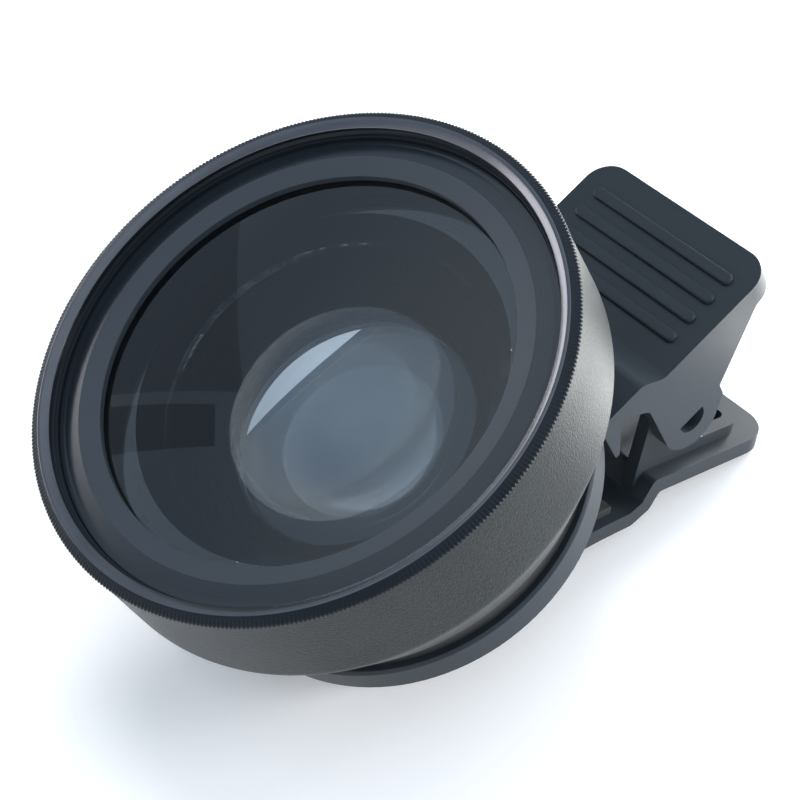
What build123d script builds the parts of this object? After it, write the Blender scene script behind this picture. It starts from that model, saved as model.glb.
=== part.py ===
from build123d import *
import os
from math import acos, asin, atan2, cos, degrees, hypot, radians, sin, sqrt

# Clip-on phone lens: a wide converter screwed on a macro lens, which is screwed into a sprung clip.
#
# Everything is drawn in the lens frame: X runs from the lens axis to the finger plates, Y along
# the hinge, and Z along the lens axis to the front. Z = 0 is where the knurl meets the rim's cone.
# At the end each piece is turned to the pose in which the closed clip lies on a table.
# Sizes are in millimetres and angles in degrees.

# Clearances, each on one side
thread_clearance = 0.05
seat_clearance = 0.05
peg_clearance = 0.05
coil_clearance = 0.45
ear_clearance = 0.3
pad_clearance = 0.1
leg_clearance = 0.03

# Wide converter: bell, cone and rear thread
bell_radius = 25.85
bell_height = 10.4
bell_wall = 2.25
bell_edge_round = 0.45
thread_radius = 18.45
thread_length = 2.5
cone_flange = 3.35
cone_height = 7.9
glass_ledge_width = 1.9
baffle_steps = 5
rear_wall = 1.85
rear_ledge_width = 1.4
rear_ledge_thickness = 1.2

# Front ring: knurled band, bevelled rim and filter thread
rim_overhang = 0.15
rim_cone_width = 0.9
rim_cone_height = 0.45
rim_flat = 0.3
rim_bevel_width = 0.7
rim_bevel_drop = 0.4
filter_thread_depth = 0.9
knurl_band = 0.25
ring_skirt_wall = 0.85
ring_skirt_depth = 2.8

# Trim ring: an outer and an inner facet that meet in a ridge
trim_seat_step = 0.3
trim_outer_flat = 0.6
trim_outer_width = 2.15
trim_outer_drop = 0.3
trim_inner_width = 1.85
trim_inner_drop = 0.55
trim_sink = 1.0
trim_height = 1.25

# Glass elements: depth of each curved face, thickness at the centre or the edge, and flat rim
front_glass_dome = 1.3
front_glass_hollow = 5.7
front_glass_centre = 1.8
front_glass_back_rim = 6.0
rear_glass_front_dome = 3.0
rear_glass_back_dome = 0.9
rear_glass_edge = 2.0
macro_glass_front_dome = 1.2
macro_glass_back_dome = 1.7
macro_glass_edge = 1.8

# Threaded retainers behind the two inner elements
retainer_height = 1.6
retainer_wall = 1.9
retainer_slot_width = 1.4
retainer_slot_depth = 0.7
retainer_sink = 0.4

# Macro lens barrel
macro_flange = 1.25
macro_height = 4.9
thread_end_gap = 0.2
macro_ledge_thickness = 1.0
macro_ledge_width = 1.6
macro_wall = 2.25

# Clip ring and the plate of the upper arm
clip_ring_wall = 2.0
clip_ring_height = 3.1
clip_ring_chamfer = 0.3
arm_width = 24.0
neck_drop = 2.0
neck_thickness = 1.8
bend_gap = 2.1
bend_run = 2.3
bend_drop = 1.8
bend_fillet = 1.4
finger_reach = 14.65
plate_thickness = 1.6
plate_corner = 3.0

# Ribs for the finger across the upper plate
rib_count = 4
rib_inset = 3.7
rib_pitch = 2.65
rib_end_gap = 2.2
rib_width = 1.3
rib_height = 0.45

# Side webs of the upper arm: skirt, hinge lobe, phone stop and the arch between the last two
web_thickness = 1.5
skirt_depth = 0.9
skirt_foot_gap = 0.2
skirt_foot_fillet = 1.0
web_heel_gap = 0.6
web_heel_height = 1.5
web_heel_fillet = 0.5
web_lobe_radius = 3.65
arch_gap = 0.6
arch_fillet = 1.2
stop_inset = 3.8
stop_depth = 3.9
stop_width = 2.3
stop_foot = 0.5

# Hinge: a moulded snap peg inside each web, with the mould's half-round recess behind it
hinge_gap = 5.15
hinge_drop = 9.75
peg_radius = 1.5
peg_length = 2.2
peg_chamfer = 0.3
recess_radius = 1.6
recess_top = 0.3
recess_ramp = 1.05
recess_floor = 0.55
recess_slot_floor = 0.2

# Lower arm: handle, frame, ears with hollow bosses, step and curved jaw
handle_slope = 35.45
handle_drop = 6.55
handle_reach = 14.1
handle_thickness = 1.8
handle_corner = 3.5
frame_height = 1.35
frame_wall = 1.2
frame_inset = 3.1
frame_corner = 2.0
ear_thickness = 1.5
ear_radius = 4.0
ear_foot_fillet = 1.0
boss_gap = 6.4
step_reach = 3.4
step_run = 1.2
step_drop = 2.4
step_fillet = 0.7
heel_run = 1.4
heel_drop = 0.75
jaw_slope = 34.0
jaw_tip_inset = 0.4
jaw_tip_flat = 3.0

# Soft pads
ring_pad_thickness = 0.8
ring_pad_lip = 0.1
ring_pad_inset = 0.9
jaw_pad_thickness = 1.0
jaw_pad_inset = 1.0
jaw_pad_lead = 1.5

# Torsion spring: coil round the bosses, one leg under each finger plate
wire_radius = 0.5
coil_radius = 3.45
coil_turns = 6
coil_pitch = 1.15
upper_leg_reach = 10.4
lower_leg_gap = 1.2

# Levels on the lens axis that follow from the sizes above
rim_top = rim_cone_height
thread_mouth = rim_top - rim_bevel_drop
trim_ridge = thread_mouth - trim_sink
trim_edge = trim_ridge - trim_outer_drop
glass_front = trim_ridge - trim_height
glass_ledge = glass_front + front_glass_dome - front_glass_centre - front_glass_hollow
bell_top = -knurl_band
bell_bottom = -bell_height
cone_bottom = bell_bottom - cone_height
ring_skirt_bottom = bell_top - ring_skirt_depth
thread_bottom = cone_bottom - thread_length
rear_glass_back = thread_bottom + retainer_sink + retainer_height
rear_ledge = rear_glass_back + rear_glass_edge
macro_web_top = thread_bottom - thread_end_gap
macro_ledge = macro_web_top - macro_ledge_thickness
macro_glass_back = macro_ledge - macro_glass_edge
ring_top = cone_bottom - macro_height
ring_bottom = ring_top - clip_ring_height
pad_face = ring_bottom - ring_pad_thickness
neck_top = ring_top - neck_drop
neck_bottom = neck_top - neck_thickness
plate_top = neck_top - bend_drop
plate_bottom = plate_top - plate_thickness
skirt_bottom = plate_bottom - skirt_depth
hinge_level = ring_bottom - hinge_drop

# Radii of the wide converter, from its outside inwards
rim_radius = bell_radius + rim_overhang
filter_thread_radius = rim_radius - rim_cone_width - rim_flat - rim_bevel_width
ring_skirt_radius = filter_thread_radius + ring_skirt_wall
trim_seat_radius = filter_thread_radius - trim_seat_step
trim_ridge_radius = trim_seat_radius - trim_outer_width
trim_inner_radius = trim_ridge_radius - trim_inner_width
glass_bore_radius = bell_radius - bell_wall
glass_ledge_radius = glass_bore_radius - glass_ledge_width

# Radii that follow from the thread, which the macro lens and the clip ring share
cone_radius = thread_radius + cone_flange
rear_bore_radius = thread_radius - rear_wall
baffle_radius = rear_bore_radius - rear_ledge_width
socket_radius = thread_radius + thread_clearance
macro_radius = thread_radius + macro_flange
macro_bore_radius = thread_radius - macro_wall
macro_ledge_radius = macro_bore_radius - macro_ledge_width
clip_ring_radius = socket_radius + clip_ring_wall
ring_pad_outer = clip_ring_radius - ring_pad_inset
ring_pad_inner = socket_radius + ring_pad_lip

# Reaches from the lens axis, and along the lower handle from the hinge
stop_reach = clip_ring_radius - stop_inset
bend_reach = clip_ring_radius + bend_gap
hinge_reach = clip_ring_radius + hinge_gap
plate_reach = hinge_reach + finger_reach
skirt_foot_x = plate_reach - plate_corner - skirt_foot_gap
jaw_reach = ring_pad_outer - jaw_tip_inset
jaw_corner = (arm_width - jaw_tip_flat) / 2
frame_reach = handle_reach - frame_inset
lower_leg_reach = frame_reach - frame_wall - lower_leg_gap

# Hinge sizes and distances from the middle plane that follow
boss_radius = coil_radius - wire_radius - coil_clearance
peg_hole_radius = peg_radius + peg_clearance
web_outer = arm_width / 2
web_inner = web_outer - web_thickness
ear_outer = web_inner - ear_clearance
ear_inner = ear_outer - ear_thickness
rib_length = arm_width - 2 * rib_end_gap


def on_handle(along, rise):
    """Side-view point of the lower handle: from the hinge, along the handle and square to it."""
    slope = radians(handle_slope)
    x = hinge_reach + along * cos(slope) + rise * sin(slope)
    z = hinge_level - along * sin(slope) + rise * cos(slope)
    return (x, z)


def handle_plane(along, rise):
    """Plane that lies in the lower handle, with its X to the free end and its Z square to it."""
    x, z = on_handle(along, rise)
    slope = radians(handle_slope)
    return Plane(origin=(x, 0, z), x_dir=(cos(slope), 0, -sin(slope)), z_dir=(sin(slope), 0, cos(slope)))


def turned(*outline):
    """Solid of revolution about the lens axis from (radius, level) points."""
    return revolve(make_face(Plane.XZ * Polyline(*outline, close=True)), Axis.Z)


def slab(outline, width, radius=0):
    """Solid from a side-view outline of (x, z) points, centred on the middle plane."""
    line = Plane.XZ * FilletPolyline(*outline, radius=radius, close=True)
    return extrude(make_face(line), amount=width / 2, both=True)


def side_walls(outline, inner, outer, radius=0):
    """One wall on each side of the clip, from inner to outer distance off the middle plane."""
    return slab(outline, 2 * outer, radius) - slab(outline, 2 * inner, radius)


def hinge_discs(radius, inner, outer):
    """A disc about the hinge axis on each side of the clip."""
    rod = Cylinder(radius, 2 * outer) - Cylinder(radius, 2 * inner)
    return Location((hinge_reach, 0, hinge_level), (90, 0, 0)) * rod


def glass_element(radius, front_rim, back_rim, front_face, back_face):
    """Lens with flat rims. A face is (half width, dome), where a forward dome is positive."""
    front_width, front_dome = front_face
    back_width, back_dome = back_face
    front_vertex = (0, front_rim + front_dome)
    back_vertex = (0, back_rim + back_dome)
    rim = Polyline(
        (front_width, front_rim),
        (radius, front_rim),
        (radius, back_rim),
        (back_width, back_rim),
    )
    outline = Curve() + [
        Line(back_vertex, front_vertex),
        TangentArc(front_vertex, (front_width, front_rim), tangent=(1, 0)),
        rim,
        TangentArc(back_vertex, (back_width, back_rim), tangent=(1, 0)),
    ]
    return revolve(make_face(Plane.XZ * outline), Axis.Z)


def retainer(bore_radius, top):
    """Threaded ring with two spanner slots, in a bore, from its top level downwards."""
    outer = bore_radius - seat_clearance
    bottom = top - retainer_height
    ring = turned(
        (outer, top),
        (outer, bottom),
        (outer - retainer_wall, bottom),
        (outer - retainer_wall, top),
    )
    slot = Box(2 * bore_radius, retainer_slot_width, 2 * retainer_slot_depth)
    return ring - Location((0, 0, bottom)) * slot


def make_front_ring():
    rim_edge = rim_radius - rim_cone_width
    return turned(
        (rim_radius, bell_top),
        (rim_radius, 0),
        (rim_edge, rim_top),
        (rim_edge - rim_flat, rim_top),
        (filter_thread_radius, thread_mouth),
        (filter_thread_radius, thread_mouth - filter_thread_depth),
        (trim_seat_radius, thread_mouth - filter_thread_depth),
        (trim_seat_radius, ring_skirt_bottom),
        (ring_skirt_radius, ring_skirt_bottom),
        (ring_skirt_radius, bell_top),
    )


def make_trim_ring():
    outer = trim_seat_radius - seat_clearance
    return turned(
        (outer, trim_edge),
        (outer - trim_outer_flat, trim_edge),
        (trim_ridge_radius, trim_ridge),
        (trim_inner_radius, trim_ridge - trim_inner_drop),
        (trim_inner_radius, glass_front),
        (outer, glass_front),
    )


def make_front_glass():
    """Large meniscus of the wide converter, gently domed in front and hollow behind."""
    return glass_element(
        glass_bore_radius - seat_clearance,
        glass_front,
        glass_ledge,
        (trim_inner_radius, front_glass_dome),
        (glass_bore_radius - front_glass_back_rim, front_glass_hollow),
    )


def make_rear_glass():
    return glass_element(
        rear_bore_radius - seat_clearance,
        rear_ledge,
        rear_glass_back,
        (baffle_radius - seat_clearance, rear_glass_front_dome),
        (rear_bore_radius - retainer_wall - 2 * seat_clearance, -rear_glass_back_dome),
    )


def make_macro_glass():
    return glass_element(
        macro_bore_radius - seat_clearance,
        macro_ledge,
        macro_glass_back,
        (macro_ledge_radius - seat_clearance, macro_glass_front_dome),
        (macro_bore_radius - retainer_wall - 2 * seat_clearance, -macro_glass_back_dome),
    )


def baffle_outline():
    """Stepped bore between the glass ledge and the rear ledge, from the front to the rear."""
    rise = (glass_ledge - rear_ledge - rear_ledge_thickness) / baffle_steps
    inset = (glass_ledge_radius - baffle_radius) / baffle_steps
    points = []
    for step in range(baffle_steps):
        radius = glass_ledge_radius - step * inset
        points.append((radius, glass_ledge - step * rise))
        points.append((radius, glass_ledge - (step + 1) * rise))
    points.append((baffle_radius, rear_ledge + rear_ledge_thickness))
    return points


def make_front_barrel():
    """Bell, cone and rear thread in one turned piece."""
    rounded = bell_radius - bell_edge_round
    arc_middle = (
        rounded + bell_edge_round * sin(radians(45)),
        bell_bottom + bell_edge_round * (1 - cos(radians(45))),
    )
    outline = Curve() + [
        Polyline((0, bell_top), (bell_radius, bell_top), (bell_radius, bell_bottom + bell_edge_round)),
        ThreePointArc(
            (bell_radius, bell_bottom + bell_edge_round),
            arc_middle,
            (rounded, bell_bottom),
        ),
        Polyline(
            (rounded, bell_bottom),
            (cone_radius, cone_bottom),
            (thread_radius, cone_bottom),
            (thread_radius, thread_bottom),
            (0, thread_bottom),
            (0, bell_top),
        ),
    ]
    body = revolve(make_face(Plane.XZ * outline), Axis.Z)
    ring_socket = ring_skirt_radius + seat_clearance
    bore = turned(
        (0, bell_top),
        (ring_socket, bell_top),
        (ring_socket, ring_skirt_bottom),
        (glass_bore_radius, ring_skirt_bottom),
        (glass_bore_radius, glass_ledge),
        *baffle_outline(),
        (baffle_radius, rear_ledge),
        (rear_bore_radius, rear_ledge),
        (rear_bore_radius, thread_bottom),
        (0, thread_bottom),
    )
    return body - bore


def make_macro_barrel():
    """Short barrel with a thread socket in front and a male thread behind."""
    return turned(
        (socket_radius, cone_bottom),
        (macro_radius, cone_bottom),
        (macro_radius, ring_top),
        (thread_radius, ring_top),
        (thread_radius, ring_bottom),
        (macro_bore_radius, ring_bottom),
        (macro_bore_radius, macro_ledge),
        (macro_ledge_radius, macro_ledge),
        (macro_ledge_radius, macro_web_top),
        (socket_radius, macro_web_top),
    )


def upper_plate():
    """Neck, S-bend and finger plate of the upper arm, with rounded corners at its free end."""
    bend_end = bend_reach + bend_run
    inner_end = bend_end - plate_thickness / 2
    profile = (
        (0, neck_top),
        (bend_reach, neck_top),
        (bend_end, plate_top),
        (plate_reach, plate_top),
        (plate_reach, plate_bottom),
        (inner_end, plate_bottom),
        (inner_end - bend_run, neck_bottom),
        (0, neck_bottom),
    )
    rounding = (0, bend_fillet, bend_fillet, 0, 0, bend_fillet, bend_fillet, 0)
    plate = slab(profile, arm_width, rounding)
    corners = plate.edges().filter_by(Axis.Z).group_by(Axis.X)[-1]
    return fillet(corners, plate_corner)


def end_skirt():
    """Low skirt that follows the edge of the finger plate round its free end."""
    length = 2 * (plate_reach - skirt_foot_x)
    depth = plate_thickness / 2 + skirt_depth
    outer = fillet(Rectangle(length, arm_width).vertices(), plate_corner)
    inner = Rectangle(length - 2 * web_thickness, 2 * web_inner)
    inner = fillet(inner.vertices(), plate_corner - web_thickness)
    skirt = Location((skirt_foot_x, 0, skirt_bottom)) * extrude(outer - inner, amount=depth)
    half_place = Location((skirt_foot_x + length / 4, 0, skirt_bottom))
    free_half = half_place * Box(length / 2, arm_width, 2 * depth)
    return skirt & free_half


def upper_webs():
    """Side webs: skirt, hinge lobe, arch and phone stop."""
    plate_middle = plate_top - plate_thickness / 2
    neck_middle = neck_top - neck_thickness / 2
    heel_reach = web_lobe_radius + web_heel_gap
    heel_x = hinge_reach + heel_reach
    half_heel = web_heel_height / 2
    heel_bearing = atan2(half_heel, heel_reach)
    tangent = acos(web_lobe_radius / hypot(heel_reach, half_heel)) + heel_bearing
    lobe_point = (hinge_reach + web_lobe_radius * cos(tangent), hinge_level - web_lobe_radius * sin(tangent))
    web_left = hinge_reach - web_lobe_radius
    arch_left = stop_reach + stop_width + arch_gap
    web = (
        (arch_left, neck_middle),
        (bend_reach, neck_middle),
        (bend_reach + bend_run, plate_middle),
        (skirt_foot_x + web_thickness, plate_middle),
        (skirt_foot_x + web_thickness, skirt_bottom),
        (skirt_foot_x, skirt_bottom),
        (heel_x, hinge_level + half_heel),
        (heel_x, hinge_level - half_heel),
        lobe_point,
        (hinge_reach, hinge_level),
        (web_left, hinge_level),
        (web_left, neck_bottom - web_left + arch_left),
        (arch_left, neck_bottom),
    )
    rounding = [0] * len(web)
    rounding[5] = skirt_foot_fillet
    rounding[6] = web_heel_fillet
    rounding[7] = web_heel_fillet
    rounding[11] = arch_fillet
    stop = (
        (stop_reach, neck_middle),
        (stop_reach + stop_width, neck_middle),
        (stop_reach + stop_width, neck_bottom),
        (stop_reach + stop_foot, neck_bottom - stop_depth),
        (stop_reach, neck_bottom - stop_depth),
    )
    lobes = hinge_discs(web_lobe_radius, web_inner, web_outer)
    stops = side_walls(stop, web_inner, web_outer)
    outline = fillet(Rectangle(2 * plate_reach, arm_width).vertices(), plate_corner)
    room = Location((0, 0, hinge_level)) * extrude(outline, amount=hinge_drop, both=True)
    return (side_walls(web, web_inner, web_outer, rounding) & room) + lobes + stops


def finger_rib(x):
    """Raised rib across the finger plate, with round ends and a softened top."""
    sunk = plate_thickness / 2
    bar = extrude(SlotOverall(rib_length, rib_width), amount=rib_height + sunk)
    bar = fillet(bar.edges().group_by(Axis.Z)[-1], rib_height * 0.6)
    return Location((x, 0, plate_top - sunk), (0, 0, 90)) * bar


def peg_recesses():
    """Half-round recess behind each peg, ramped down to a deeper slot at its lower edge."""
    chord = hinge_level + recess_top
    ramp_end = chord - recess_ramp
    lower_edge = hinge_level - recess_radius
    section = (
        (web_outer, chord),
        (web_inner + recess_floor, ramp_end),
        (web_inner + recess_slot_floor, ramp_end),
        (web_inner + recess_slot_floor, lower_edge),
        (web_outer, lower_edge),
    )
    plane = Plane(origin=(hinge_reach, 0, 0), x_dir=(0, 1, 0), z_dir=(1, 0, 0))
    cut = extrude(make_face(plane * Polyline(*section, close=True)), amount=recess_radius, both=True)
    cuts = cut + mirror(cut, Plane.XZ)
    return cuts & hinge_discs(recess_radius, web_inner, web_outer)


def snap_pegs():
    """Peg inside each web, chamfered at its free end."""
    pegs = hinge_discs(peg_radius, web_inner - peg_length, web_inner + recess_slot_floor)
    rims = pegs.edges().filter_by(GeomType.CIRCLE)
    free_rims = [rim for rim in rims if abs(rim.center().Y) < web_inner - peg_length / 2]
    return chamfer(free_rims, peg_chamfer)


def make_ring_arm():
    """Upper arm: clip ring, neck, finger plate with ribs, webs and snap pegs."""
    arm = upper_plate() + upper_webs() + end_skirt()
    hole_radius = ring_pad_outer + seat_clearance
    lens_hole = Location((0, 0, ring_top)) * Cylinder(hole_radius, 4 * clip_ring_height)
    collar = turned(
        (socket_radius, ring_top),
        (clip_ring_radius - clip_ring_chamfer, ring_top),
        (clip_ring_radius, ring_top - clip_ring_chamfer),
        (clip_ring_radius, ring_bottom),
        (socket_radius, ring_bottom),
    )
    arm = arm - lens_hole + collar
    for index in range(rib_count):
        arm = arm + finger_rib(plate_reach - rib_inset - index * rib_pitch)
    return arm - peg_recesses() + snap_pegs()


def make_ring_pad():
    return turned(
        (ring_pad_inner, ring_bottom),
        (ring_pad_outer, ring_bottom),
        (ring_pad_outer, pad_face),
        (ring_pad_inner, pad_face),
    )


def jaw_foot():
    """Where the jaw's curve starts, past the step and its heel."""
    along = -step_reach - step_run - heel_run
    return on_handle(along, -handle_drop - step_drop - heel_drop)


def jaw_curve():
    """Centre, radius, foot slope and tip slope of the arc that is the jaw's face."""
    foot_x, foot_z = jaw_foot()
    tip_z = pad_face - pad_clearance - jaw_pad_thickness
    foot_slope = radians(jaw_slope)
    tip_slope = 2 * atan2(tip_z - foot_z, foot_x + jaw_reach) - foot_slope
    radius = (foot_x + jaw_reach) / (sin(foot_slope) - sin(tip_slope))
    centre = (-jaw_reach - radius * sin(tip_slope), tip_z - radius * cos(tip_slope))
    return centre, radius, foot_slope, tip_slope


def jaw_points(height, start_slope=None):
    """Start, middle and tip of the jaw's curve, at a height above its face."""
    centre, radius, foot_slope, tip_slope = jaw_curve()
    first = foot_slope if start_slope is None else start_slope
    points = []
    for slope in (first, (first + tip_slope) / 2, tip_slope):
        x = centre[0] + (radius + height) * sin(slope)
        z = centre[1] + (radius + height) * cos(slope)
        points.append((x, z))
    return points


def mitred(before, corner, after, distance):
    """Side-view corner moved to the left of its path, by a distance from both of its legs."""
    first = Vector(corner[0] - before[0], corner[1] - before[1]).normalized()
    second = Vector(after[0] - corner[0], after[1] - corner[1]).normalized()
    scale = distance / (1 + first.dot(second))
    shift_x = -(first.Y + second.Y) * scale
    shift_z = (first.X + second.X) * scale
    return (corner[0] + shift_x, corner[1] + shift_z)


def lower_plate():
    """Handle, step and curved jaw as one bent strip with rounded ends."""
    handle_end = on_handle(handle_reach, -handle_drop)
    handle_end_under = on_handle(handle_reach, -handle_drop - handle_thickness)
    step_top = on_handle(-step_reach, -handle_drop)
    step_bottom = on_handle(-step_reach - step_run, -handle_drop - step_drop)
    jaw_top = jaw_points(0)
    jaw_under = jaw_points(-handle_thickness)
    foot = jaw_top[0]
    past_foot = (foot[0] - cos(radians(jaw_slope)), foot[1] + sin(radians(jaw_slope)))
    outline = Curve() + [
        FilletPolyline(handle_end, step_top, step_bottom, foot, radius=step_fillet),
        ThreePointArc(*jaw_top),
        Line(jaw_top[2], jaw_under[2]),
        ThreePointArc(jaw_under[2], jaw_under[1], jaw_under[0]),
        FilletPolyline(
            jaw_under[0],
            mitred(step_bottom, foot, past_foot, handle_thickness),
            mitred(step_top, step_bottom, foot, handle_thickness),
            mitred(handle_end, step_top, step_bottom, handle_thickness),
            handle_end_under,
            radius=step_fillet,
        ),
        Line(handle_end_under, handle_end),
    ]
    plate = extrude(make_face(Plane.XZ * outline), amount=arm_width / 2, both=True)
    square_to_handle = Axis((0, 0, 0), handle_plane(0, 0).z_dir)
    handle_corners = [
        edge
        for edge in plate.edges().filter_by(square_to_handle)
        if edge.center().X > hinge_reach
    ]
    plate = fillet(handle_corners, handle_corner)
    tip_slope = jaw_curve()[3]
    square_to_tip = Axis((0, 0, 0), (sin(tip_slope), 0, cos(tip_slope)))
    tip_corners = [edge for edge in plate.edges().filter_by(square_to_tip) if edge.center().X < 0]
    return fillet(tip_corners, jaw_corner)


def handle_frame():
    """Low wall round the finger area, open towards the ears."""
    length = frame_reach + handle_thickness / 2
    outer = Rectangle(2 * length, 2 * ear_outer)
    inner = Rectangle(2 * (length - frame_wall), 2 * ear_inner)
    outer = fillet(outer.vertices(), frame_corner)
    inner = fillet(inner.vertices(), frame_corner - frame_wall)
    sunk = handle_thickness / 2
    wall = extrude(outer - inner, amount=frame_height + sunk)
    far_half = Location((length / 2, 0, 0)) * Box(length, arm_width, 4 * handle_drop)
    place = handle_plane(frame_reach - length, -handle_drop - sunk)
    return place * (wall & far_half)


def ears():
    """Ear on each side, from the frame and the step up to its round top about the hinge."""
    sunk = handle_thickness / 2
    frame_top = -handle_drop + frame_height
    outline = (
        on_handle(-step_reach - step_run, -handle_drop - step_drop - sunk),
        on_handle(-ear_radius, 0),
        on_handle(ear_radius, 0),
        on_handle(ear_radius, frame_top),
        on_handle(ear_radius + 2 * ear_foot_fillet, frame_top),
        on_handle(ear_radius + 2 * ear_foot_fillet, -handle_drop - sunk),
        on_handle(-step_reach + sunk, -handle_drop - sunk),
    )
    rounding = (0, 0, 0, ear_foot_fillet, 0, 0, 0)
    walls = side_walls(outline, ear_inner, ear_outer, rounding)
    return walls + hinge_discs(ear_radius, ear_inner, ear_outer)


def make_jaw_arm():
    """Lower arm: finger plate with its frame, ears with hollow bosses, step and jaw."""
    arm = lower_plate() + handle_frame() + ears()
    arm = arm + hinge_discs(boss_radius, boss_gap / 2, ear_inner)
    return arm - hinge_discs(peg_hole_radius, boss_gap / 2, ear_outer)


def make_jaw_pad():
    """Soft strip on the jaw, a little narrower than the jaw and rounded like its tip."""
    centre, radius, foot_slope, tip_slope = jaw_curve()
    start_slope = asin((jaw_foot()[0] - jaw_pad_lead - centre[0]) / radius)
    face = jaw_points(jaw_pad_thickness, start_slope)
    back = jaw_points(0, start_slope)
    outline = Curve() + [
        ThreePointArc(*face),
        Line(face[2], back[2]),
        ThreePointArc(back[2], back[1], back[0]),
        Line(back[0], face[0]),
    ]
    pad = extrude(make_face(Plane.XZ * outline), amount=arm_width / 2 - jaw_pad_inset, both=True)
    square_to_tip = Axis((0, 0, 0), (sin(tip_slope), 0, cos(tip_slope)))
    tip_corners = [edge for edge in pad.edges().filter_by(square_to_tip) if edge.center().X < 0]
    return fillet(tip_corners, jaw_corner - jaw_pad_inset)


def spring_leg(x, z):
    """Side-view angle of a point from the hinge, half angle between its tangents, and their length."""
    away = hypot(x - hinge_reach, z - hinge_level)
    bearing = atan2(z - hinge_level, x - hinge_reach)
    return bearing, acos(coil_radius / away), sqrt(away**2 - coil_radius**2)


def make_torsion_spring():
    """Round wire: a coil about the hinge, and a straight leg to each finger plate.

    The coil is drawn about Z from tilted half turns, each of which climbs by half the pitch.
    """
    touch = wire_radius + leg_clearance
    upper, upper_turn, upper_length = spring_leg(hinge_reach + upper_leg_reach, plate_bottom - touch)
    lower, lower_turn, lower_length = spring_leg(*on_handle(lower_leg_reach, -handle_drop + touch))
    coil_end = lower - lower_turn
    first_part = degrees(coil_end - upper - upper_turn) % 360
    climb = coil_pitch / 4
    wire = Plane(origin=(coil_radius, 0, 0), z_dir=(0, 1, 0)) * Circle(wire_radius)
    half_turn = revolve(wire, Axis((0, 0, climb), (climb, 0, coil_radius)), 180)
    back_axis = Axis((0, 0, -climb), (climb, 0, -coil_radius))
    spring = revolve(wire, back_axis, first_part)
    spring = spring + extrude(wire, amount=-upper_length).rotate(back_axis, first_part)
    for half in range(2 * coil_turns):
        spring = spring + Location((0, 0, 2 * half * climb), (0, 0, 180 * half)) * half_turn
    top = coil_turns * coil_pitch
    spring = spring + Location((0, 0, top)) * extrude(wire, amount=lower_length)
    hinge = Location((hinge_reach, 0, hinge_level), (90, 0, 0))
    return hinge * Location((0, 0, -top / 2), (0, 0, degrees(coil_end))) * spring


def rest_location(pieces):
    """Turn and shift that put the closed clip on the table, centred over the origin."""
    tip_x, tip_z = jaw_points(-handle_thickness)[2]
    end_x, end_z = on_handle(handle_reach, -handle_drop - handle_thickness)
    tilt = degrees(atan2(tip_z - end_z, end_x - tip_x))
    turn = Rotation(0, -tilt, 0)
    boxes = [(turn * piece).bounding_box() for piece in pieces.values()]
    left = min(box.min.X for box in boxes)
    right = max(box.max.X for box in boxes)
    table = min(box.min.Z for box in boxes)
    return Location((-(left + right) / 2, 0, -table)) * turn


def main():
    pieces = {
        "front_ring": make_front_ring(),
        "trim_ring": make_trim_ring(),
        "front_glass": make_front_glass(),
        "front_barrel": make_front_barrel(),
        "rear_glass": make_rear_glass(),
        "rear_retainer": retainer(rear_bore_radius, rear_glass_back),
        "macro_barrel": make_macro_barrel(),
        "macro_glass": make_macro_glass(),
        "macro_retainer": retainer(macro_bore_radius, macro_glass_back),
        "ring_arm": make_ring_arm(),
        "ring_pad": make_ring_pad(),
        "jaw_arm": make_jaw_arm(),
        "jaw_pad": make_jaw_pad(),
        "torsion_spring": make_torsion_spring(),
    }
    place = rest_location(pieces)
    os.makedirs("parts", exist_ok=True)
    for name, piece in pieces.items():
        export_step(place * piece, f"parts/{name}.step")


if __name__ == "__main__":
    main()
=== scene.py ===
from math import acos, atan2, cos, degrees, hypot, pi, radians, sin, sqrt, tau

import bmesh
import bpy
from bpy.props import FloatProperty, FloatVectorProperty, IntProperty, PointerProperty
from bpy.types import Operator, Panel, PropertyGroup
from mathutils import Matrix, Vector


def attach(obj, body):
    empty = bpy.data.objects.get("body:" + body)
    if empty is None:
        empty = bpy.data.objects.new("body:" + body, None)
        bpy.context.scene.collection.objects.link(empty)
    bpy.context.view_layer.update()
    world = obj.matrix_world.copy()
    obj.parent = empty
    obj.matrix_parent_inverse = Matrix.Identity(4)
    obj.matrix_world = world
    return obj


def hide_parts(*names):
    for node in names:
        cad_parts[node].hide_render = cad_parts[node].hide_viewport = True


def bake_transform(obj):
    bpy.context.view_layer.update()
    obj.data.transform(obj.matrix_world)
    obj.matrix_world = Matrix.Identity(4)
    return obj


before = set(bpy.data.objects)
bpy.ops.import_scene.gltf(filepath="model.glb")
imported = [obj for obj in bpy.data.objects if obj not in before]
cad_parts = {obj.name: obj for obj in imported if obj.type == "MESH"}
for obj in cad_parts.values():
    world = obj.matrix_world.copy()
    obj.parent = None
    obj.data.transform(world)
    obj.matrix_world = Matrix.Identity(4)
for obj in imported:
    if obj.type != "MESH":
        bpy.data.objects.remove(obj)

bl_info = {
    "name": "Clip-on phone lens",
    "version": (1, 0, 0),
    "blender": (4, 5, 0),
    "location": "View3D > Sidebar > Clip Lens",
    "description": "Builds a clip-on converter lens with its sprung clip, its finishes and a studio",
    "category": "Object",
}

MM = 0.001

# The lens frame has its Z along the lens axis and its X towards the finger plates. It leans in the
# shared frame, in which the closed clip lies on the floor.
TILT = radians(22.157672750737078)
LENS_TO_SHARED = Matrix.Translation((-0.012744315, 0.0, 0.035081783)) @ Matrix.Rotation(-TILT, 4, "Y")
LENS_TURN = LENS_TO_SHARED.to_3x3()

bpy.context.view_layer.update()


# ---------------------------------------------------------------- turned pieces, in millimetres

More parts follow.
